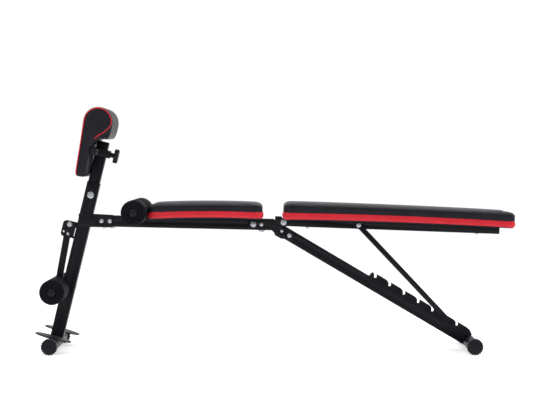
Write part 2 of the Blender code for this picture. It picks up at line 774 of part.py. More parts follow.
def make_arm_bracket():
    """U-shaped bracket on the post's front: a web and two cheeks with an arc slot."""
    web_face = -POST_SIZE / 2 - GAP
    inner = ARM_SIZE / 2 + GAP
    outer = inner + PLATE
    cheek_outline = [
        (web_face - PLATE / 2, BRACKET_LOW),
        (web_face - PLATE / 2, BRACKET_HIGH),
    ]
    cheek_outline += arc((-BRACKET_FRONT + BRACKET_CORNER, BRACKET_HIGH - BRACKET_CORNER), BRACKET_CORNER, 90, 180, 5)
    cheek_outline += arc((-BRACKET_FRONT + BRACKET_CORNER, BRACKET_LOW + BRACKET_CORNER), BRACKET_CORNER, 180, 270, 5)
    web = block(
        "arm_bracket",
        (web_face - PLATE, -outer, BRACKET_LOW),
        (web_face, outer, BRACKET_HIGH),
        POWDER_COAT, post_frame,
    )
    for label, side in SIDES:
        cheek = plate("arm_cheek_" + label, cheek_outline, side_span(side, inner, outer), POWDER_COAT, post_frame)
        combine(web, "UNION", cheek)

    # The bracket is welded to the post above and below a shallow recess.
    recess = block(
        "arm_bracket_recess",
        (web_face - BRACKET_RECESS_DEPTH, -POST_SIZE, BRACKET_RECESS[0]),
        (0.0, POST_SIZE, BRACKET_RECESS[1]),
        ZINC, post_frame,
    )
    combine(web, "DIFFERENCE", recess)

    # The clamp bolt starts in line with the arm and swings to the front with it.
    slot_radius = M6 + RUNNING
    start = -90 + math.degrees(ARM_TILT)
    end = start - math.degrees(ARM_SWING)
    mouth = arc(ARM_PIVOT, ARM_BOLT_DOWN + slot_radius, start, end, 6)
    tip_end = (
        ARM_PIVOT[0] + ARM_BOLT_DOWN * math.cos(math.radians(end)),
        ARM_PIVOT[1] + ARM_BOLT_DOWN * math.sin(math.radians(end)),
    )
    tip_start = (
        ARM_PIVOT[0] + ARM_BOLT_DOWN * math.cos(math.radians(start)),
        ARM_PIVOT[1] + ARM_BOLT_DOWN * math.sin(math.radians(start)),
    )
    outline = mouth + arc(tip_end, slot_radius, end, end - 180, 6)[1:-1]
    outline += arc(ARM_PIVOT, ARM_BOLT_DOWN - slot_radius, end, start, 6)
    outline += arc(tip_start, slot_radius, start + 180, start, 6)[1:-1]
    combine(web, "DIFFERENCE", plate("arm_arc_slot", outline, (-POST_SIZE, POST_SIZE), ZINC, post_frame))
    return web


arm_bracket = make_arm_bracket()
arm_frame = make_empty("arm_frame", ARM_PIVOT, -ARM_TILT, post_frame)
roller_arm = square_tube("roller_arm", ARM_SIZE, ARM_WALL, "z", (-ARM_LENGTH, ARM_TOP), POWDER_COAT, arm_frame)
roller_arm.location = (-ARM_OFFSET, 0.0, 0.0)
lower_axle_centre = (0.0, 0.0, -ARM_LENGTH)
combine(
    roller_arm, "DIFFERENCE",
    plate(
        "axle_seat_tool",
        [(u, v - ARM_LENGTH) for u, v in circle(AXLE_RADIUS + GAP, 24)],
        (-POST_SIZE, POST_SIZE), ZINC, arm_frame,
    ),
    block(
        "arm_foot_tool",
        (-ARM_SIZE, -ARM_SIZE, -ARM_LENGTH - AXLE_RADIUS),
        (ARM_SIZE, ARM_SIZE, -ARM_LENGTH + AXLE_RADIUS / 2),
        ZINC, arm_frame,
    ),
)
ARM_GRIP = ARM_SIZE / 2 + GAP + PLATE
cross_bolt(
    "arm_pivot_bolt", 0.0, 0.0, ARM_GRIP, arm_frame, [roller_arm, arm_bracket], washer=0.008, flats=0.013,
)
cross_bolt(
    "arm_clamp_bolt", 0.0, -ARM_BOLT_DOWN, ARM_GRIP, arm_frame, [roller_arm],
    radius=M6, flats=0.008, washer=0.0046, head=0.0035,
)
make_axle("lower_axle", lower_axle_centre, arm_frame)
for label, side in SIDES:
    make_roller("lower_roller_" + label, side, lower_axle_centre, arm_frame)
    make_tube_plug(
        "lower_plug_" + label, side, AXLE_HALF, AXLE_RADIUS - AXLE_WALL, arm_frame, lower_axle_centre,
    )


# ---------------------------------------------------------------- rear leg, hinge plates and rack

leg_frame = make_empty("leg_frame", REAR_ORIGIN, LEG_TILT, bench)
rear_leg = square_tube(
    "rear_leg", LEG_SIZE, TUBE_WALL, "x", (-(LEG_STATION + LEG_TOP_SHORT), 0.0), POWDER_COAT, leg_frame,
)
combine(rear_leg, "DIFFERENCE", crossbar_tool("rear_crossbar_tool", leg_frame))


def hinge_outline():
    """Boomerang outline in the leg's frame: lug on the beam, hub at the pivot, foot on the leg."""
    def from_seat(x, z):
        return seen_from(REAR_ORIGIN, LEG_TILT, place(SEAT_ORIGIN, SEAT_FALL, x, z))

    hub = seen_from(REAR_ORIGIN, LEG_TILT, PIVOT)
    beam_end = BEAM_FRONT + BEAM_LENGTH
    edge = BEAM_SIZE / 2 - 0.002
    lug_start = beam_end - HINGE_LUG
    foot_end = -(LEG_STATION - HINGE_LEG_REACH)
    underside = -LEG_SIZE / 2 - HINGE_UNDERHANG
    lean = math.degrees(LEG_TILT)
    outline = [from_seat(lug_start, -edge), from_seat(lug_start, edge)]
    outline += [from_seat(beam_end - 0.004, edge)]
    outline += arc(hub, HINGE_HUB, 165 + lean, 20 + lean, 8)
    outline += [
        (-LEG_STATION + 0.014, LEG_SIZE / 2 - 0.0015),
        (foot_end - 0.010, LEG_SIZE / 2 - 0.0015),
        (foot_end, LEG_SIZE / 2 - 0.008),
        (foot_end, -LEG_SIZE / 2 + 0.004),
        (foot_end - 0.008, -LEG_SIZE / 2 + 0.001),
        (-LEG_STATION + 0.030, -LEG_SIZE / 2 + 0.001),
        (-LEG_STATION + 0.017, underside),
        (-LEG_STATION - 0.004, underside),
        (-LEG_STATION - 0.009, -LEG_SIZE / 2 + 0.001),
        from_seat(beam_end - 0.009, -edge),
    ]
    return outline


hinge_plates = [
    plate("hinge_plate_" + label, hinge_outline(), side_span(side, HINGE_INNER, HINGE_OUTER), POWDER_COAT, leg_frame)
    for label, side in SIDES
]
for number, (along, size) in enumerate(zip(SEAT_HINGE_BOLTS, (0.009, 0.006)), 1):
    cross_bolt(
        "beam_hinge_bolt_%d" % number, along, 0.0, HINGE_OUTER, seat_frame, [seat_beam, *hinge_plates],
        radius=M6, flats=1.45 * size, washer=size, head=0.0045,
    )
upright_bolt(
    "beam_under_bolt", sum(SEAT_HINGE_BOLTS) / 2 + UNDER_BOLT_BACK, (-BEAM_SIZE / 2, -BEAM_SIZE / 2 + 0.010), seat_frame,
    [seat_beam], washer=0.012, flats=0.013, head=0.0050,
)
for number, (down, size) in enumerate(zip(LEG_BOLTS, (0.0048, 0.0070)), 1):
    cross_bolt(
        "leg_hinge_bolt_%d" % number, -(LEG_STATION - down), 0.0, HINGE_OUTER, leg_frame, [rear_leg, *hinge_plates],
        radius=M6, flats=1.6 * size, washer=size, head=0.0040,
    )


def slot_outline(station, lean, radius=SLOT_RADIUS):
    """Upright slot with a round bottom, open through the rack's top edge."""
    centre = (-station, SLOT_HEIGHT)
    reach = 3 * SLOT_HEIGHT
    up = (-math.sin(lean) * reach, math.cos(lean) * reach)
    turn = math.degrees(lean)
    outline = arc(centre, radius, 180 + turn, 360 + turn, 8)
    right, left = outline[-1], outline[0]
    outline += [(right[0] + up[0], right[1] + up[1]), (left[0] + up[0], left[1] + up[1])]
    return outline


def round_shoulder(station, lean):
    """Tool that rounds the tooth on the uphill side of a slot."""
    radius = 0.005
    corner = -(station + SLOT_RADIUS / math.cos(lean) + (RACK_TOP - SLOT_HEIGHT) * math.tan(lean))
    centre = (corner - radius, RACK_TOP - radius)
    outline = arc(centre, radius, 90, 90 - math.degrees(LEG_TILT) - 25, 5)
    outline += [(outline[-1][0] + radius, outline[-1][1]), (outline[-1][0] + radius, RACK_TOP + radius)]
    outline += [(centre[0], RACK_TOP + radius)]
    return outline


def make_rack(label, side):
    """Notched plate welded along the leg's side, down to the rear crossbar."""
    head_tooth = (-RACK_HEAD + 0.0035, RACK_TOP - 0.001)
    outline = [
        (-RACK_TAIL, RACK_BOTTOM),
        (-RACK_TAIL, CROSSBAR_RADIUS + 0.004),
        (-RACK_TAIL - 0.004, RACK_TOP - 0.008),
        (-RACK_TAIL - 0.012, RACK_TOP - 0.002),
        (-RACK_TAIL - 0.020, RACK_TOP),
        (-RACK_HEAD + 0.009, RACK_TOP),
        head_tooth,
        (-RACK_HEAD, LEG_SIZE / 2),
        (-RACK_HEAD + 0.002, RACK_BOTTOM),
    ]
    rack = plate("rack_" + label, outline, side_span(side, HINGE_INNER, HINGE_OUTER), POWDER_COAT, leg_frame)
    combine(rack, "DIFFERENCE", crossbar_tool("rack_foot_tool_" + label, leg_frame))
    return rack


racks = [make_rack(label, side) for label, side in SIDES]


def cut_slots():
    """Slots stand upright on the sloping rack; the flat-back slot has a ramped mouth as well."""
    lean = LEG_TILT
    across = (-2 * HINGE_OUTER, 2 * HINGE_OUTER)
    stations = [SLOT_LAST + SLOT_PITCH * i for i in range(SLOT_COUNT)]
    tools = []
    for number, station in enumerate([SLOT_LAST - DECLINE_STEP, *stations]):
        tools.append(plate("slot_%d" % number, slot_outline(station, lean), across, ZINC, leg_frame))
    for number, station in enumerate([SLOT_LAST - DECLINE_STEP, *stations[1:]]):
        tools.append(plate("shoulder_%d" % number, round_shoulder(station, lean), across, ZINC, leg_frame))
    floor = SLOT_HEIGHT - SLOT_RADIUS
    ramp = [
        (-SLOT_LAST, floor),
        (-SLOT_LAST - 0.0023, floor + 0.0005),
        (-SLOT_LAST - RAMP_LENGTH, RACK_TOP),
        (-SLOT_LAST - RAMP_LENGTH, RACK_TOP + 0.010),
        (-SLOT_LAST, RACK_TOP + 0.010),
    ]
    tools.append(plate("slot_ramp", ramp, across, ZINC, leg_frame))
    for rack in racks:
        combine(rack, "DIFFERENCE", *tools)


cut_slots()


# ---------------------------------------------------------------- backrest

back_frame = make_empty("back_frame", PIVOT, BACK_FALL, bench)


def make_rail():
    """Box rail with two cheeks welded to its front end, which carry the pivot bolt."""
    low = RAIL_TOP - RAIL_HEIGHT
    outer = rounded_rectangle((-RAIL_WIDTH / 2, low), (RAIL_WIDTH / 2, RAIL_TOP), 0.0025)
    inner = rounded_rectangle(
        (-RAIL_WIDTH / 2 + RAIL_WALL, low + RAIL_WALL), (RAIL_WIDTH / 2 - RAIL_WALL, RAIL_TOP - RAIL_WALL), 0.0012,
    )
    rail = tube("backrest_rail", outer, inner, "x", (RAIL_FRONT, RAIL_END), POWDER_COAT, back_frame)
    top = RAIL_TOP - 0.0004
    bottom = low + 0.0004
    nose_back = BACK_FRONT - 0.0018
    outline = [
        (CHEEK_WELD, bottom),
        (CHEEK_WELD, top),
        (nose_back, top),
        (nose_back, CHEEK_NOSE_TOP),
        (-CHEEK_NOSE, CHEEK_NOSE_TOP),
        (-CHEEK_NOSE, 0.0),
        (-0.012, bottom + 0.0015),
        (-0.006, bottom),
    ]
    for label, side in SIDES:
        cheek = plate("rail_cheek_" + label, outline, side_span(side, CHEEK_INNER, CHEEK_OUTER), POWDER_COAT, back_frame)
        combine(rail, "UNION", cheek)
    return rail


backrest_rail = make_rail()


def make_rail_cap():
    """Plastic cap in the rail's head end."""
    low = RAIL_TOP - RAIL_HEIGHT
    inset = RAIL_WALL + SLIDING
    rim = rounded_rectangle((-RAIL_WIDTH / 2, low), (RAIL_WIDTH / 2, RAIL_TOP), 0.0025)
    stem = rounded_rectangle(
        (-RAIL_WIDTH / 2 + inset, low + inset), (RAIL_WIDTH / 2 - inset, RAIL_TOP - inset), 0.0012,
    )
    rings = [
        on_axis(stem, "x", RAIL_END - 0.012),
        on_axis(stem, "x", RAIL_END + GAP),
        on_axis(rim, "x", RAIL_END + GAP),
        on_axis(rim, "x", RAIL_END + 0.003),
    ]
    return solid("rail_cap", rings, PLASTIC, back_frame)


make_rail_cap()
cushion("backrest_cushion", BACK_FRONT, BACK_LENGTH, RAIL_TOP + GAP, back_frame, PAD_THICKNESS + BACK_CROWN)

cross_bolt(
    "backrest_pivot_bolt", 0.0, 0.0, CHEEK_OUTER, back_frame, [backrest_rail, *hinge_plates],
    washer=0.0095, flats=0.013,
)
tube(
    "pivot_bush", circle(BUSH_RADIUS), circle(M8 + RUNNING), "y",
    (-HINGE_INNER + GAP, HINGE_INNER - GAP), ZINC, back_frame,
)
for number, along in enumerate(BACK_SCREWS, 1):
    upright_bolt(
        "backrest_screw_%d" % number, along, (RAIL_TOP - RAIL_HEIGHT, RAIL_TOP), back_frame, [backrest_rail],
        radius=0.0025, flats=0.0085, washer=0.0055, head=0.0030,
    )


# ---------------------------------------------------------------- support strut

strut_frame = make_empty("strut_frame", STRUT_PIVOT, STRUT_TILT, bench)


def make_strut():
    """Two flat bars that straddle the rail and the rack, joined by the locking pin and a brace."""
    radius = STRUT_BAR_WIDTH / 2
    outline = arc((0.0, 0.0), radius, 90, 270, 8) + arc((STRUT_LENGTH, 0.0), radius, 270, 450, 8)
    bars = [
        plate("strut_bar_" + label, outline, side_span(side, BAR_INNER, BAR_OUTER), POWDER_COAT, strut_frame)
        for label, side in SIDES
    ]
    pin_half = (BAR_INNER + BAR_OUTER) / 2
    pin = plate(
        "strut_pin", [(u + STRUT_LENGTH, v) for u, v in circle(PIN_RADIUS)],
        (-pin_half, pin_half), POWDER_COAT, strut_frame,
    )
    brace = plate(
        "strut_brace", [(u + STRUT_BRACE_FROM_PIVOT, v) for u, v in circle(STRUT_BRACE_RADIUS)],
        (-pin_half, pin_half), POWDER_COAT, strut_frame,
    )
    strut = bars[0]
    strut.name = "support_strut"
    combine(strut, "UNION", pin, brace, bars[1])
    return strut


support_strut = make_strut()
cross_bolt(
    "strut_pivot_bolt", 0.0, 0.0, BAR_OUTER, strut_frame, [support_strut, backrest_rail],
    radius=M8, flats=0.012, washer=0.0075, head=0.0048,
)


# ---------------------------------------------------------------- curl pad, carrier and clamp knob

def make_carrier():
    """Square collar round the inner tube, with a clamp boss behind and a padded bar each side."""
    inner = INNER_SIZE / 2 + SLIDING
    outer = inner + PLATE
    low = CARRIER_UP - CARRIER_HEIGHT / 2
    high = CARRIER_UP + CARRIER_HEIGHT / 2
    collar = tube(
        "pad_carrier", square_outline(2 * outer, 0.004), square_outline(2 * inner, 0.002),
        "z", (low, high), POWDER_COAT, post_frame,
    )
    boss = solid(
        "carrier_boss",
        [on_axis([(v, u + CARRIER_UP) for u, v in circle(KNOB_BOSS_RADIUS, 24)], "x", x)
         for x in (outer - PLATE / 2, KNOB_BOSS_END)],
        POWDER_COAT, post_frame,
    )
    bars = []
    gussets = []
    bar_centre = (-CARRIER_BAR_OUT, CARRIER_UP)
    for label, side in SIDES:
        bar = tube(
            "carrier_bar_" + label, circle(CARRIER_BAR_RADIUS, 24), circle(CARRIER_BAR_RADIUS - AXLE_WALL, 24),
            "y", side_span(side, outer - PLATE / 2, CARRIER_BAR_END), POWDER_COAT, post_frame,
            (bar_centre[0], 0.0, bar_centre[1]),
        )
        bars.append(bar)
        outline = arc(bar_centre, CARRIER_BAR_RADIUS - 0.0004, 60, 300, 10) + [(0.008, CARRIER_UP)]
        gussets.append(
            plate("carrier_gusset_" + label, outline, side_span(side, outer - PLATE / 2, outer + 0.004),
                  POWDER_COAT, post_frame)
        )
    combine(collar, "UNION", boss, *gussets, *bars)
    screw_hole = solid(
        "clamp_screw_hole",
        [on_axis([(v, u + CARRIER_UP) for u, v in circle(M8 + RUNNING)], "x", x) for x in (inner - 0.002, 0.050)],
        ZINC, post_frame,
    )
    combine(collar, "DIFFERENCE", screw_hole)
    return collar


make_carrier()
carrier_bar_bore = CARRIER_BAR_RADIUS - AXLE_WALL
for label, side in SIDES:
    make_tube_plug(
        "carrier_plug_" + label, side, CARRIER_BAR_END, carrier_bar_bore, post_frame,
        (-CARRIER_BAR_OUT, 0.0, CARRIER_UP), CARRIER_BAR_RADIUS,
    )


def lobed_outline(radius, depth, sides=36):
    """Star outline: finger lobes round a disc."""
    points = []
    for i in range(sides):
        a = 2 * math.pi * i / sides
        reach = radius - depth * (1 - math.cos(KNOB_LOBES * a)) / 2
        points.append((reach * math.cos(a), reach * math.sin(a)))
    return points


def make_knob():
    """Star knob with its steel screw, which presses on the inner tube."""
    sides = 36
    knob_frame = make_empty("knob_frame", (0.0, CARRIER_UP), 0.0, post_frame)
    tip = INNER_SIZE / 2 + GAP
    rings = [
        on_axis(circle(M8, sides), "x", tip),
        on_axis(circle(M8, sides), "x", KNOB_BOSS_END + GAP),
        on_axis(circle(KNOB_NECK_RADIUS, sides), "x", KNOB_BOSS_END + GAP),
        on_axis(circle(KNOB_NECK_RADIUS, sides), "x", KNOB_DISC_START),
        on_axis(lobed_outline(KNOB_RADIUS - 0.0015, KNOB_LOBE_DEPTH), "x", KNOB_DISC_START),
        on_axis(lobed_outline(KNOB_RADIUS, KNOB_LOBE_DEPTH), "x", KNOB_DISC_START + 0.0015),
        on_axis(lobed_outline(KNOB_RADIUS, KNOB_LOBE_DEPTH), "x", KNOB_DISC_END - 0.0025),
        on_axis(lobed_outline(KNOB_RADIUS - 0.0030, KNOB_LOBE_DEPTH), "x", KNOB_DISC_END),
    ]
    return solid("clamp_knob", rings, PLASTIC, knob_frame)


make_knob()


def make_curl_pad():
    """Pad with a flat lower part and a thick roll along its top edge, in its own tilted frame."""
    relative_tilt = CURL_PAD_TILT - POST_LEAN
    bar_front = (-CARRIER_BAR_OUT - CARRIER_BAR_RADIUS - GAP, CARRIER_UP)
    # The slab's back face touches the carrier bars; its lower front edge is the pad's origin.
    origin = place(bar_front, relative_tilt, -CURL_SLAB, -CURL_DROP)
    pad_frame = make_empty("curl_pad_frame", origin, relative_tilt, post_frame)
    roll = (CURL_ROLL_RADIUS - 0.001, CURL_ROLL_UP)
    outline = [(0.003, 0.0)]
    outline += [(0.0, 0.006), (0.0, 0.70 * CURL_ROLL_UP)]
    outline += arc(roll, CURL_ROLL_RADIUS, 176, 0, 17)
    outline += [
        (roll[0] + (CURL_ROLL_RADIUS + CURL_ROLL_SAG * a / 55) * math.cos(math.radians(a)),
         roll[1] - (CURL_ROLL_RADIUS + CURL_ROLL_SAG * a / 55) * math.sin(math.radians(a)))
        for a in (11, 22, 33, 44, 55)
    ]
    outline += [(CURL_SLAB + 0.0300, CURL_ROLL_UP - 0.0385), (CURL_SLAB + 0.0195, CURL_ROLL_UP - 0.0445)]
    outline += [(CURL_SLAB + 0.0105, CURL_ROLL_UP - 0.0560), (CURL_SLAB + 0.0035, CURL_ROLL_UP - 0.0690)]
    outline += [(CURL_SLAB, CURL_ROLL_UP - 0.0830), (CURL_SLAB, 0.006), (CURL_SLAB - 0.004, 0.0)]
    return plate("curl_pad", outline, (-CURL_PAD_WIDTH / 2, CURL_PAD_WIDTH / 2), VINYL, pad_frame)


make_curl_pad()
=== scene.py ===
"""The looks of the adjustable weight bench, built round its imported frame.

The sections follow the bench as it is put together: tubes and plates, fasteners, plastic caps,
foam rollers, the seat and backrest cushions, and last the curl pad.
"""

import json
import math

import bmesh
import bpy
import numpy as np
from mathutils import Matrix, Vector


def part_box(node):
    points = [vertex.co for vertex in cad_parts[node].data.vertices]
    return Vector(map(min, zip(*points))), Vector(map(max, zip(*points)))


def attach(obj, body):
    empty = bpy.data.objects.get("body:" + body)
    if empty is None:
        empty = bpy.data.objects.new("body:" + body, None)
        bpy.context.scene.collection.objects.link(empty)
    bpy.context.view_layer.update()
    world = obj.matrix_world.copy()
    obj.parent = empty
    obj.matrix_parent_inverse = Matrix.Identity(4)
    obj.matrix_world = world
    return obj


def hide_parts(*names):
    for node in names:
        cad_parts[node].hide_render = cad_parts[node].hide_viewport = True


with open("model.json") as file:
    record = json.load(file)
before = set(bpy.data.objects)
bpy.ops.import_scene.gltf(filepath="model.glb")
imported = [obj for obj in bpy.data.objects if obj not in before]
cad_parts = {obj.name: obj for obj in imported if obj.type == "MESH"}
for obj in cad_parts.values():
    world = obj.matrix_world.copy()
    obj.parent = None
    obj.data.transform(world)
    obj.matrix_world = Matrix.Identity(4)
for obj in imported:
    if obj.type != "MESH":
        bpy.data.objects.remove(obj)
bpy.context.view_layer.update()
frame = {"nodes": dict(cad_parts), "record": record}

nodes = frame["nodes"]
SLOT_OF = {part["node"]: part["material_slot"] for part in frame["record"]["subparts"]}
BODY_OF = {node: body for body, group in frame["record"]["behaviour"]["bodies"].items() for node in group}


# ------------------------------------------------------------------ studio
# A shooting table of opal acrylic lit from below, a paper backdrop behind the bench, a greyer room
# in front, and three soft boxes: a wide one overhead, a key on the left and one past the backrest.

def linear(hex_colour, alpha=1.0):
    """sRGB hex to linear RGBA."""
    channels = [int(hex_colour[i:i + 2], 16) / 255 for i in (1, 3, 5)]
    return (*[c / 12.92 if c <= 0.04045 else ((c + 0.055) / 1.055) ** 2.4 for c in channels], alpha)


def add_node(tree, kind, settings=None, links=None):
    """Add one shader node.  settings names inputs or properties, links names inputs."""
    node = tree.nodes.new(kind)
    for name, value in (settings or {}).items():
        if name in node.inputs:
            node.inputs[name].default_value = value
        else:
            setattr(node, name, value)
    for name, source in (links or {}).items():
        tree.links.new(source, node.inputs[name])
    return node


def new_material(name, **shader):
    """A material whose Principled shader has these values on its own sockets."""
    material = bpy.data.materials.new(name)
    material.use_nodes = True
    tree = material.node_tree
    principled = tree.nodes["Principled BSDF"]
    for key, value in shader.items():
        principled.inputs[key.replace("_", " ").title().replace("Ior", "IOR")].default_value = value
    return material, tree, principled


def deselect():
    bpy.ops.object.select_all(action="DESELECT")


def make_active(piece):
    deselect()
    piece.select_set(True)
    bpy.context.view_layer.objects.active = piece


FLOOR_HALF = 9.0
deselect()
bpy.ops.mesh.primitive_plane_add(size=2 * FLOOR_HALF, location=(0.0, 0.0, 0.0))
floor = bpy.context.object
floor.name = "shooting_table"
card, card_tree, card_shader = new_material(
    "backlit_opal_acrylic", base_color=linear("#e6e6e6"), roughness=0.8, specular_ior_level=0.2,
    emission_color=linear("#ffffff"), emission_strength=0.55,
)
fibre = add_node(card_tree, "ShaderNodeTexNoise", {"Scale": 40.0, "Detail": 4.0},
                 {"Vector": add_node(card_tree, "ShaderNodeTexCoord").outputs["Object"]})
bump = add_node(card_tree, "ShaderNodeBump", {"Strength": 0.02, "Distance": 0.001}, {"Height": fibre.outputs["Fac"]})
card_tree.links.new(bump.outputs["Normal"], card_shader.inputs["Normal"])
floor.data.materials.append(card)

world = bpy.data.worlds.new("pale_studio")
bpy.context.scene.world = world
world.use_nodes = True
backdrop = world.node_tree.nodes["Background"]
toward = add_node(world.node_tree, "ShaderNodeTexCoord").outputs["Generated"]
behind = add_node(world.node_tree, "ShaderNodeSeparateXYZ", None, {"Vector": toward}).outputs["Y"]
ROOM_GREY = 0.30             # the open side of the studio
PAPER_WHITE = 1.03           # the lit paper behind the bench
glow = add_node(
    world.node_tree, "ShaderNodeMapRange",
    {"From Min": -0.25, "From Max": 0.55, "To Min": ROOM_GREY, "To Max": PAPER_WHITE, "interpolation_type": "SMOOTHSTEP"},
    {"Value": behind},
)
world.node_tree.links.new(glow.outputs["Result"], backdrop.inputs["Strength"])
backdrop.inputs["Color"].default_value = (1.0, 1.0, 1.0, 1.0)


def soft_box(name, place, target, size, power):
    lamp = bpy.data.lights.new(name, "AREA")
    lamp.shape = "RECTANGLE"
    lamp.size, lamp.size_y = size
    lamp.energy = power
    box = bpy.data.objects.new(name, lamp)
    bpy.context.scene.collection.objects.link(box)
    box.location = place
    box.rotation_euler = (Vector(target) - Vector(place)).to_track_quat("-Z", "Y").to_euler()
    return box


soft_box("top_box", (0.0, 0.2, 3.3), (0.0, 0.0, 0.0), (4.0, 2.6), 90)
soft_box("key_box", (-1.9, -2.8, 2.4), (-0.2, 0.0, 0.4), (1.3, 1.3), 34)
soft_box("side_box", (3.0, -1.0, 1.6), (0.0, 0.0, 0.5), (1.4, 2.0), 30)
soft_box("front_box", (0.4, -5.5, 2.2), (0.0, 0.0, 0.5), (3.0, 1.2), 10)


# ------------------------------------------------------------------ camera
# A long lens square to the side of the bench, a little above the seat, looking very slightly down.

VIEW_DISTANCE = 5.95
VIEW_WIDTH = 1.705           # width of the picture at the bench's centre line
VIEW_POINT = Vector((-0.020, -VIEW_DISTANCE, 0.593))
VIEW_TARGET = Vector((-0.0014, 0.0, 0.4445))
lens = bpy.data.cameras.new("side_camera")
lens.sensor_width = 36.0
lens.lens = lens.sensor_width * VIEW_DISTANCE / VIEW_WIDTH
camera = bpy.data.objects.new("side_camera", lens)
bpy.context.scene.collection.objects.link(camera)
camera.location = VIEW_POINT
camera.rotation_euler = (VIEW_TARGET - VIEW_POINT).to_track_quat("-Z", "Y").to_euler()
bpy.context.scene.camera = camera
bpy.context.scene.view_settings.view_transform = "Standard"


# ------------------------------------------------------------------ powder-coated steel
# Tubes, plates and bars of mild steel, sprayed with polyester powder and baked after welding.
# The coat flows round edges, so each node's copy gets a small rounded arris.

COAT_COLOUR = linear("#0e0e14")
ORANGE_PEEL = 0.0025         # width of the coat's ripples
COAT_GRAIN = 0.0006


def surface_position(tree):
    return add_node(tree, "ShaderNodeTexCoord").outputs["Object"]


def noise(tree, vector, size, detail=2.0, roughness=0.5):
    """Noise whose blotches are about size metres across."""
    return add_node(
        tree, "ShaderNodeTexNoise", {"Scale": 1.0 / size, "Detail": detail, "Roughness": roughness},
        {"Vector": vector},
    ).outputs["Fac"]


def spread(tree, source, low, high, start=0.3, end=0.7):
    """Stretch a noise to run between two values."""
    return add_node(
        tree, "ShaderNodeMapRange",
        {"From Min": start, "From Max": end, "To Min": low, "To Max": high}, {"Value": source},
    ).outputs["Result"]


def two_colours(tree, factor, first, second):
    ramp = add_node(tree, "ShaderNodeValToRGB", None, {"Fac": factor})
    ramp.color_ramp.elements[0].color = first
    ramp.color_ramp.elements[1].color = second
    return ramp.outputs["Color"]


def add_bumps(tree, principled, layers):
    """Chain bump layers: each is (height, strength, depth in metres)."""
    normal = None
    for height, strength, depth in layers:
        links = {"Height": height}
        if normal:
            links["Normal"] = normal
        normal = add_node(tree, "ShaderNodeBump", {"Strength": strength, "Distance": depth}, links).outputs["Normal"]
    tree.links.new(normal, principled.inputs["Normal"])


def powder_coat():
    """Satin black polyester powder: faint orange peel, fine grain, and a little handling dust."""
    material, tree, principled = new_material(
        "black_polyester_powder_coat", specular_ior_level=0.14,
    )
    where = surface_position(tree)
    dust = noise(tree, where, 0.05, 4.0)
    tree.links.new(two_colours(tree, spread(tree, dust, 0.0, 1.0), COAT_COLOUR, linear("#131319")),
                   principled.inputs["Base Color"])
    tree.links.new(spread(tree, dust, 0.36, 0.46), principled.inputs["Roughness"])
    add_bumps(tree, principled, [
        (noise(tree, where, ORANGE_PEEL), 0.25, 0.00006),
        (noise(tree, where, COAT_GRAIN, 3.0), 0.20, 0.00003),
    ])
    return material


def finished_copy(node, arris, steps=2, angle=32.0):
    """A merged copy of a CAD node with rounded edges, shaded smooth, standing for that node."""
    source = nodes[node]
    mesh = source.data.copy()
    mesh.name = node + "_finished"
    piece = bpy.data.objects.new(node + "_finished", mesh)
    bpy.context.scene.collection.objects.link(piece)
    mesh.materials.clear()
    shape = bmesh.new()
    shape.from_mesh(mesh)
    bmesh.ops.remove_doubles(shape, verts=shape.verts, dist=1e-6)
    bmesh.ops.dissolve_limit(shape, angle_limit=math.radians(0.5), verts=shape.verts, edges=shape.edges)
    bmesh.ops.recalc_face_normals(shape, faces=shape.faces)
    shape.to_mesh(mesh)
    shape.free()
    make_active(piece)
    if arris:
        bevel = piece.modifiers.new("arris", "BEVEL")
        bevel.width = arris
        bevel.segments = steps
        bevel.limit_method = "ANGLE"
        bevel.angle_limit = math.radians(angle)
        bevel.use_clamp_overlap = True
        bpy.ops.object.modifier_apply(modifier=bevel.name)
    bpy.ops.object.shade_smooth_by_angle(angle=math.radians(angle))
    return piece


def fit(piece, node, material):
    piece.data.materials.append(material)
    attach(piece, BODY_OF[node])
    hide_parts(node)


STEEL_ARRIS = 0.0005
steel_coat = powder_coat()
for node, slot in sorted(SLOT_OF.items()):
    if slot == "black_powder_coat":
        fit(finished_copy(node, STEEL_ARRIS), node, steel_coat)


# ------------------------------------------------------------------ zinc-plated fasteners
# Hexagon bolts, washers and nuts of turned steel with bright zinc plating: lightly clouded,
# with fine turning marks.

def zinc_plate():
    material, tree, principled = new_material("zinc_plated_steel", metallic=1.0)
    where = surface_position(tree)
    cloud = noise(tree, where, 0.004, 3.0)
    tree.links.new(two_colours(tree, spread(tree, cloud, 0.0, 1.0), linear("#8f9299"), linear("#c9ccd1")),
                   principled.inputs["Base Color"])
    tree.links.new(spread(tree, cloud, 0.28, 0.45), principled.inputs["Roughness"])
    add_bumps(tree, principled, [(noise(tree, where, 0.0008, 2.0), 0.3, 0.00005)])
    return material


BOLT_ARRIS = 0.0004
bright_zinc = zinc_plate()
for node, slot in sorted(SLOT_OF.items()):
    if slot == "zinc_plate":
        fit(finished_copy(node, BOLT_ARRIS, angle=25.0), node, bright_zinc)


# ------------------------------------------------------------------ moulded plastic
# Polypropylene end caps, plugs and the clamp knob, injection moulded in a spark-eroded mould
# that leaves an even fine grain.

def moulded_plastic():
    material, tree, principled = new_material(
        "moulded_polypropylene", ior=1.49, specular_ior_level=0.16,
    )
    where = surface_position(tree)
    flow = noise(tree, where, 0.02, 3.0)
    tree.links.new(two_colours(tree, spread(tree, flow, 0.0, 1.0), linear("#0f0f15"), linear("#15151c")),
                   principled.inputs["Base Color"])
    tree.links.new(spread(tree, flow, 0.32, 0.42), principled.inputs["Roughness"])
    add_bumps(tree, principled, [(noise(tree, where, 0.0007, 2.0), 0.35, 0.00006)])
    return material


black_plastic = moulded_plastic()
for node, slot in sorted(SLOT_OF.items()):
    if slot == "black_plastic":
        fit(finished_copy(node, 0.0006, steps=3, angle=24.0), node, black_plastic)


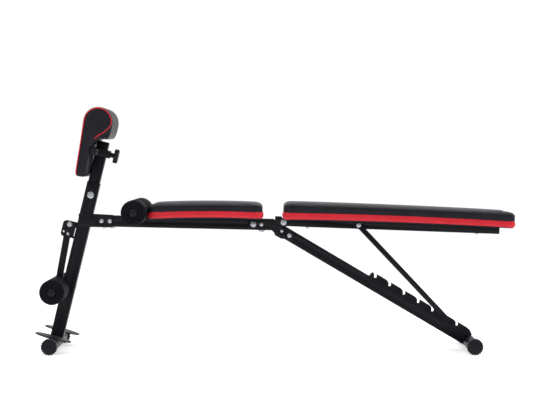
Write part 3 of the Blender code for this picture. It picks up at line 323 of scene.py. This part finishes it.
# ------------------------------------------------------------------ foam rollers
# Closed-cell NBR foam tube pushed on the axle, cut square and softened at its ends.
# Its skin is matt, with the fine pits of burst cells.

FOAM_SOFTEN = 0.010
FOAM_DISH = 0.003


def nitrile_foam():
    material, tree, principled = new_material(
        "nitrile_foam_rubber", specular_ior_level=0.04,
    )
    where = surface_position(tree)
    patch = noise(tree, where, 0.03, 3.0)
    cells = add_node(tree, "ShaderNodeTexVoronoi", {"Scale": 1.0 / 0.0016}, {"Vector": where})
    tree.links.new(two_colours(tree, spread(tree, patch, 0.0, 1.0), linear("#0e0e13"), linear("#131319")),
                   principled.inputs["Base Color"])
    tree.links.new(spread(tree, patch, 0.62, 0.78), principled.inputs["Roughness"])
    add_bumps(tree, principled, [
        (noise(tree, where, 0.012, 2.0), 0.25, 0.0006),
        (cells.outputs["Distance"], 0.35, 0.00020),
    ])
    return material


def make_foam_roller(node):
    """A tube spun about its axle: softened rims, ends a little dished towards the axle."""
    low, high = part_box(node)
    centre = (low + high) / 2
    radius = (high.x - low.x) / 2
    length = high.y - low.y
    half = length / 2
    bore = 0.0101
    profile = [(bore, -half + FOAM_DISH), (bore + 0.004, -half + 0.4 * FOAM_DISH), (radius - 2.2 * FOAM_SOFTEN, -half)]
    for i in range(7):
        a = math.radians(-90 + 15 * i)
        profile.append((radius - FOAM_SOFTEN + FOAM_SOFTEN * math.cos(a), -half + FOAM_SOFTEN + FOAM_SOFTEN * math.sin(a)))
    profile += [(radius, -half * 0.5), (radius, 0.0)]
    profile += [(r, -y) for r, y in reversed(profile[:-1])]
    deselect()
    mesh = bpy.data.meshes.new(node + "_foam")
    piece = bpy.data.objects.new(node + "_foam", mesh)
    bpy.context.scene.collection.objects.link(piece)
    shape = bmesh.new()
    line = [shape.verts.new((centre.x + r, centre.y + y, centre.z)) for r, y in profile]
    edges = [shape.edges.new(pair) for pair in zip(line, line[1:] + line[:1])]
    bmesh.ops.spin(shape, geom=line + edges, cent=centre, axis=(0, 1, 0), angle=2 * math.pi, steps=72, use_merge=True)
    bmesh.ops.remove_doubles(shape, verts=shape.verts, dist=1e-6)
    bmesh.ops.recalc_face_normals(shape, faces=shape.faces)
    shape.to_mesh(mesh)
    shape.free()
    make_active(piece)
    bpy.ops.object.shade_smooth_by_angle(angle=math.radians(40))
    return piece


soft_foam = nitrile_foam()
for node in ("upper_roller_left", "upper_roller_right", "lower_roller_left", "lower_roller_right"):
    roller = make_foam_roller(node)
    fit(roller, node, soft_foam)


# ------------------------------------------------------------------ seat and backrest cushions
# Polyurethane foam on a plywood board, covered in black PVC leathercloth with a red band let
# into the side.  Each cover is stapled under the board, so its sides pull in between corners.

SEAT_TILT = 0.0
BACK_TILT = math.radians(2.1)
BAND_LOW = 0.0008            # red band, above the cushion's underside
BAND_HIGH = 0.0185
VOXEL = 0.0045
CUSHION_SHRINK = 0.0012
SWELL_CAP = 0.0022
TOP_CROWN = 0.0015
FOLD_DROP = 0.0025
SEAM_DEPTH = 0.0014


def leathercloth(name, dark, light, roughness=(0.42, 0.56), specular=0.16):
    """PVC on knitted backing, embossed with a fine hide grain and creased a little by the foam."""
    material, tree, principled = new_material(name, specular_ior_level=specular)
    where = surface_position(tree)
    patch = noise(tree, where, 0.045, 4.0)
    pebble = add_node(tree, "ShaderNodeTexVoronoi", {"Scale": 1.0 / 0.0018, "Randomness": 0.9}, {"Vector": where})
    tree.links.new(two_colours(tree, spread(tree, patch, 0.0, 1.0), linear(dark), linear(light)),
                   principled.inputs["Base Color"])
    tree.links.new(spread(tree, patch, *roughness), principled.inputs["Roughness"])
    add_bumps(tree, principled, [
        (noise(tree, where, 0.030, 3.0), 0.20, 0.0012),
        (pebble.outputs["Distance"], 0.30, 0.00015),
    ])
    return material


def merged_copy(node):
    """A welded copy of a CAD node, with its triangles joined up."""
    mesh = nodes[node].data.copy()
    piece = bpy.data.objects.new(node + "_cover", mesh)
    mesh.name = piece.name
    mesh.materials.clear()
    bpy.context.scene.collection.objects.link(piece)
    shape = bmesh.new()
    shape.from_mesh(mesh)
    bmesh.ops.remove_doubles(shape, verts=shape.verts, dist=1e-6)
    shape.to_mesh(mesh)
    shape.free()
    return piece


def points_of(piece):
    points = np.empty(len(piece.data.vertices) * 3)
    piece.data.vertices.foreach_get("co", points)
    return points.reshape(-1, 3)


def set_points(piece, points):
    piece.data.vertices.foreach_set("co", np.ascontiguousarray(points).ravel())
    piece.data.update()


def remesh(piece, size):
    make_active(piece)
    step = piece.modifiers.new("even_mesh", "REMESH")
    step.mode = "VOXEL"
    step.voxel_size = size
    bpy.ops.object.modifier_apply(modifier=step.name)


def inflate(piece, pinned, cap, pressure=4.0):
    """Blow the cover up as cloth.  Pinned points stay, and no point moves further than cap."""
    before = points_of(piece)
    group = piece.vertex_groups.new(name="held")
    group.add([int(i) for i in np.nonzero(pinned)[0]], 1.0, "REPLACE")
    make_active(piece)
    cloth = piece.modifiers.new("cover", "CLOTH")
    cloth.settings.use_pressure = True
    cloth.settings.uniform_pressure_force = pressure
    cloth.settings.vertex_group_mass = "held"
    cloth.settings.quality = 5
    cloth.settings.tension_stiffness = 25
    cloth.settings.compression_stiffness = 25
    cloth.settings.bending_stiffness = 1.0
    cloth.settings.effector_weights.gravity = 0.0
    cloth.collision_settings.use_collision = False
    scene = bpy.context.scene
    for step in range(1, 21):
        scene.frame_set(step)
    bpy.ops.object.modifier_apply(modifier=cloth.name)
    scene.frame_set(1)
    piece.vertex_groups.clear()
    moved = points_of(piece) - before
    reach = np.linalg.norm(moved, axis=1)
    scale = np.minimum(1.0, cap / np.maximum(reach, 1e-9))
    set_points(piece, before + moved * scale[:, None])


def turned(points, centre, angle):
    """Points turned about the Y axis through centre."""
    offset = points - centre
    x = offset[:, 0] * math.cos(angle) + offset[:, 2] * math.sin(angle)
    z = -offset[:, 0] * math.sin(angle) + offset[:, 2] * math.cos(angle)
    return np.stack([x, offset[:, 1], z], axis=1) + centre


def cut_level(piece, height):
    """Put a clean line of edges round the cover at one height."""
    shape = bmesh.new()
    shape.from_mesh(piece.data)
    everything = list(shape.verts) + list(shape.edges) + list(shape.faces)
    bmesh.ops.bisect_plane(shape, geom=everything, plane_co=(0, 0, height), plane_no=(0, 0, 1), dist=1e-5)
    shape.to_mesh(piece.data)
    shape.free()


def make_cushion(node, tilt, arch, materials):
    """The cover of one cushion.  arch gives the rise of its foot, band and top, in its middle and at its ends."""
    piece = merged_copy(node)
    points = points_of(piece)
    centre = (points.min(0) + points.max(0)) / 2
    level = turned(points, centre, -tilt)
    low, high = level.min(0), level.max(0)
    middle = (low + high) / 2
    half = (high - low) / 2
    inner = (half - CUSHION_SHRINK) / half
    level[:, 0] = middle[0] + (level[:, 0] - middle[0]) * inner[0]
    level[:, 1] = middle[1] + (level[:, 1] - middle[1]) * inner[1]
    level[:, 2] = low[2] + (level[:, 2] - low[2]) * (1 - CUSHION_SHRINK / (2 * half[2]))
    set_points(piece, level)
    remesh(piece, VOXEL)
    points = points_of(piece)
    inflate(piece, points[:, 2] < low[2] + 0.5 * VOXEL, SWELL_CAP)

    band = (low[2] + BAND_LOW, low[2] + BAND_HIGH)
    for height in band:
        cut_level(piece, height)
    for material in materials:
        piece.data.materials.append(material)
    for face in piece.data.polygons:
        on_side = abs(face.normal.z) < 0.75
        face.material_index = int(band[0] < face.center.z < band[1] and on_side)
    pull_seams_in(piece, band, middle, half)
    seams = [seam_line(piece, height, low) for height in band]
    for cover in (piece, *seams):
        set_points(cover, arched(points_of(cover), low, middle, half, arch))
    set_points(piece, turned(points_of(piece), centre, tilt))
    make_active(piece)
    bpy.ops.object.shade_smooth()
    for line in seams:
        set_points(line, turned(points_of(line), centre, tilt))
    return piece, seams


def arched(points, low, middle, half, arch):
    """Staples hold the cover in between the corners, so the band bows and the foam crowns the top."""
    u = np.clip((points[:, 0] - middle[0]) / half[0], -1, 1)
    v = np.clip(points[:, 1] / half[1], -1, 1)
    w = np.clip((points[:, 2] - low[2]) / (2 * half[2]), 0, 1)
    seam = (BAND_HIGH - BAND_LOW) / (2 * half[2])
    in_middle = np.interp(w, (0, seam, 1), arch["middle"])
    at_ends = np.interp(w, (0, seam, 1), arch["ends"])
    outer = np.maximum(np.clip((np.abs(v) - 0.3) / 0.5, 0, 1), w)
    rise = (in_middle * (1 - u ** 2) + at_ends * u ** 2) * outer + arch["slope"] * u * w
    crown = TOP_CROWN * (1 - u ** 4) * (1 - v ** 4) * w ** 3
    # The cover's lower fold hangs a little below the board along both sides.
    fold = FOLD_DROP * np.clip((np.abs(v) - 0.80) / 0.12, 0, 1) * np.clip(1 - w * 12, 0, 1)
    result = points.copy()
    result[:, 2] += rise + crown - fold
    return result


def pull_seams_in(piece, heights, middle, half):
    """The stitching draws the cover in along both edges of the band."""
    points = points_of(piece)
    side = np.clip((np.maximum(np.abs((points[:, 0] - middle[0]) / half[0]), np.abs(points[:, 1] / half[1])) - 0.9) / 0.05, 0, 1)
    for height in heights:
        near = np.exp(-((points[:, 2] - height) / 0.0016) ** 2) * side * SEAM_DEPTH
        offset = points[:, :2] - middle[:2]
        edge = np.where(half[0] - np.abs(offset[:, 0]) < half[1] - np.abs(offset[:, 1]), 0, 1)
        for axis in (0, 1):
            points[:, axis] -= np.where(edge == axis, near * np.sign(offset[:, axis]), 0)
    set_points(piece, points)


SEAM_RADIUS = 0.0011


def seam_line(piece, height, low):
    """A thin welt round the cover at one height: a round bar swept along the cut line."""
    shape = bmesh.new()
    shape.from_mesh(piece.data)
    on_line = {v for v in shape.verts if abs(v.co.z - height) < 2e-5}
    edges = {e for e in shape.edges if e.verts[0] in on_line and e.verts[1] in on_line}
    neighbours = {}
    for edge in edges:
        a, b = edge.verts
        neighbours.setdefault(a, []).append(b)
        neighbours.setdefault(b, []).append(a)
    loops = []
    unused = set(neighbours)
    while unused:
        start = min(unused, key=lambda v: v.index)
        loop = [start]
        unused.discard(start)
        while True:
            onward = [n for n in neighbours[loop[-1]] if n in unused]
            if not onward:
                break
            loop.append(min(onward, key=lambda v: v.index))
            unused.discard(loop[-1])
        loops.append([v.co.copy() for v in loop])
    shape.free()
    return swept_welt(piece.name + "_welt_%d" % round(1000 * (height - low.item(2))), max(loops, key=len), SEAM_RADIUS)


def even_loop(points, spacing):
    """Points at even spacing round a closed loop."""
    closed = points + [points[0]]
    steps = [(b - a).length for a, b in zip(closed, closed[1:])]
    total = sum(steps)
    count = max(12, round(total / spacing))
    result = []
    reached, index = 0.0, 0
    for i in range(count):
        target = total * i / count
        while reached + steps[index] < target:
            reached += steps[index]
            index += 1
        share = (target - reached) / max(steps[index], 1e-9)
        result.append(closed[index].lerp(closed[index + 1], share))
    return result


def smooth_loop(points, passes):
    for _ in range(passes):
        points = [
            points[i] * 0.5 + (points[i - 1] + points[(i + 1) % len(points)]) * 0.25 for i in range(len(points))
        ]
    return points


def swept_welt(name, loop, radius, sides=8, spacing=0.006, closed=True):
    """A round cord swept round a loop, or along an open line and closed at its two ends."""
    if closed:
        loop = smooth_loop(even_loop(loop, spacing), 3)
    mesh = bpy.data.meshes.new(name)
    welt = bpy.data.objects.new(name, mesh)
    bpy.context.scene.collection.objects.link(welt)
    shape = bmesh.new()
    rings = []
    centre = sum(loop, Vector()) / len(loop)
    flat = sum(((a - centre).cross(b - centre) for a, b in zip(loop, loop[1:])), Vector()).normalized()
    last = len(loop) - 1
    for i, point in enumerate(loop):
        onward = loop[(i + 1) % len(loop)] if closed else loop[min(i + 1, last)]
        back = loop[i - 1] if closed else loop[max(i - 1, 0)]
        along = (onward - back).normalized()
        out = along.cross(flat).normalized()
        up = out.cross(along).normalized()
        ring = []
        for k in range(sides):
            a = 2 * math.pi * k / sides
            ring.append(shape.verts.new(point + radius * (math.cos(a) * out + math.sin(a) * up)))
        rings.append(ring)
    for i, ring in enumerate(rings if closed else rings[:-1]):
        onward = rings[(i + 1) % len(rings)]
        for k in range(sides):
            j = (k + 1) % sides
            shape.faces.new((ring[k], onward[k], onward[j], ring[j]))
    if not closed:
        shape.faces.new(rings[0])
        shape.faces.new(rings[-1][::-1])
    bmesh.ops.recalc_face_normals(shape, faces=shape.faces)
    shape.to_mesh(mesh)
    shape.free()
    make_active(welt)
    bpy.ops.object.shade_smooth()
    return welt


black_cover = leathercloth("black_pvc_leathercloth", "#111118", "#191820")
red_cover = leathercloth("red_pvc_leathercloth", "#b81824", "#c62231", (0.40, 0.50), 0.25)
SEAT_ARCH = {"middle": (0.0018, 0.0042, 0.0010), "ends": (-0.0025, -0.0008, -0.0030), "slope": 0.0}
BACK_ARCH = {"middle": (0.0032, 0.0050, 0.0005), "ends": (-0.0005, 0.0005, -0.0015), "slope": -0.0020}
for node, tilt, arch in (("seat_cushion", SEAT_TILT, SEAT_ARCH), ("backrest_cushion", BACK_TILT, BACK_ARCH)):
    cover, welts = make_cushion(node, tilt, arch, (black_cover, red_cover))
    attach(cover, BODY_OF[node])
    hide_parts(node)
    for welt in welts:
        welt.data.materials.append(black_cover)
        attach(welt, BODY_OF[node])


# ------------------------------------------------------------------ curl pad
# A teardrop of foam in the same black leathercloth, with flat end panels sewn in and red
# piping round both of them.

PIPING_RADIUS = 0.0016
PIPING_INSET = 0.0012
CURL_ROLL = 0.0455           # half the roll's thickness
CURL_TAPER = 0.016           # length over which the cover narrows to its ends
CURL_PLUMP = 0.0016
END_PULL = 0.0020
LOWER_BACK_PULL = 0.0085
ROLL_SAG = 0.0095
NECK_HEIGHT = 0.112          # where the piping ends behind, above the pad's foot


def make_curl_pad(node):
    piece = merged_copy(node)
    points = points_of(piece)
    low, high = points.min(0), points.max(0)
    middle = (low + high) / 2
    half_width = high[1]
    outline = end_outline(piece, high[1])
    points[:, 1] *= (half_width - 0.002) / half_width
    set_points(piece, points)
    remesh(piece, 0.005)
    points = points_of(piece)
    inflate(piece, np.abs(points[:, 1]) > half_width - 0.006, 0.004, pressure=3.0)
    make_active(piece)
    smooth = piece.modifiers.new("soften", "SMOOTH")
    smooth.iterations = 2
    bpy.ops.object.modifier_apply(modifier=smooth.name)
    plump = piece.modifiers.new("plump", "DISPLACE")
    plump.strength = CURL_PLUMP
    plump.mid_level = 0.0
    bpy.ops.object.modifier_apply(modifier=plump.name)
    bpy.ops.object.shade_smooth()
    hub = Vector((high[0], 0, high[2])) - Vector((CURL_ROLL, 0, CURL_ROLL))
    points = points_of(piece)
    near_end = np.clip((np.abs(points[:, 1]) - half_width + CURL_TAPER) / CURL_TAPER, 0, 1)
    set_points(piece, pulled_in(sagged(points, hub, 1 - near_end), hub, near_end ** 2))
    return piece, outline, half_width, hub


def sagged(points, hub, share):
    """The roll's foam hangs down behind, over the top of the post."""
    offset = points - np.array([hub.x, 0, hub.z])
    offset[:, 1] = 0
    angle = np.degrees(np.arctan2(offset[:, 2], offset[:, 0]))
    reach = np.linalg.norm(offset, axis=1)
    depth = ROLL_SAG * np.exp(-((angle + 60) / 24) ** 2) * share * (reach < 1.6 * CURL_ROLL)
    return points + offset / np.maximum(reach, 1e-9)[:, None] * depth[:, None]


def pulled_in(points, hub, share):
    """The cover narrows to its end panels, most of all at the roll's lower back."""
    offset = points - np.array([hub.x, 0, hub.z])
    offset[:, 1] = 0
    reach = np.linalg.norm(offset, axis=1)
    angle = np.degrees(np.arctan2(offset[:, 2], offset[:, 0]))
    depth = END_PULL + LOWER_BACK_PULL * np.exp(-((angle + 47) / 24) ** 2) * (reach > 0.03)
    depth = depth * share * np.clip(reach / CURL_ROLL, 0, 1)
    return points - offset / np.maximum(reach, 1e-9)[:, None] * depth[:, None]


def end_outline(piece, y):
    """The end panel's outline, walked round the sharp edge of one end."""
    shape = bmesh.new()
    shape.from_mesh(piece.data)
    rim = [v for v in shape.verts if abs(v.co.y - y) < 1e-5]
    rim_edges = [
        e for e in shape.edges
        if all(abs(v.co.y - y) < 1e-5 for v in e.verts)
        and any(abs(abs(f.normal.y) - 1) > 0.2 for f in e.link_faces)
    ]
    neighbours = {v: [] for v in rim}
    for edge in rim_edges:
        a, b = edge.verts
        neighbours[a].append(b)
        neighbours[b].append(a)
    start = rim[0]
    loop = [start]
    while True:
        onward = [n for n in neighbours[loop[-1]] if n not in loop]
        if not onward:
            break
        loop.append(onward[0])
    result = [v.co.copy() for v in loop]
    shape.free()
    return result


def front_to_neck(loop):
    """The part of an outline from the pad's lower front corner, over the roll, to the neck behind."""
    count = len(loop)
    low = min(p.z for p in loop)
    corner = min(range(count), key=lambda i: loop[i].x + loop[i].z)
    step = 1 if loop[(corner + 3) % count].z > loop[corner - 3].z else -1
    neck = low + NECK_HEIGHT
    line = []
    over = False
    for i in range(count):
        point = loop[(corner + step * i) % count]
        over = over or point.z > neck + 0.05
        if over and point.z < neck:
            break
        line.append(point)
    return smooth_loop_open(line, 3)


def smooth_loop_open(points, passes):
    for _ in range(passes):
        inner = [points[i] * 0.5 + (points[i - 1] + points[i + 1]) * 0.25 for i in range(1, len(points) - 1)]
        points = [points[0], *inner, points[-1]]
    return points


curl_cover, curl_outline, curl_half, curl_hub = make_curl_pad("curl_pad")
curl_cover.data.materials.append(black_cover)
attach(curl_cover, BODY_OF["curl_pad"])
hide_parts("curl_pad")
for label, side in (("left", -1), ("right", 1)):
    ring = np.array([list(p) for p in even_loop(curl_outline, 0.004)])
    ring = pulled_in(ring, curl_hub, 1.0)
    loop = [Vector((x, side * (curl_half - PIPING_INSET), z)) for x, y, z in ring]
    line = front_to_neck(loop)
    piping = swept_welt("curl_pad_piping_" + label, line, PIPING_RADIUS, closed=False)
    piping.data.materials.append(red_cover)
    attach(piping, BODY_OF["curl_pad"])
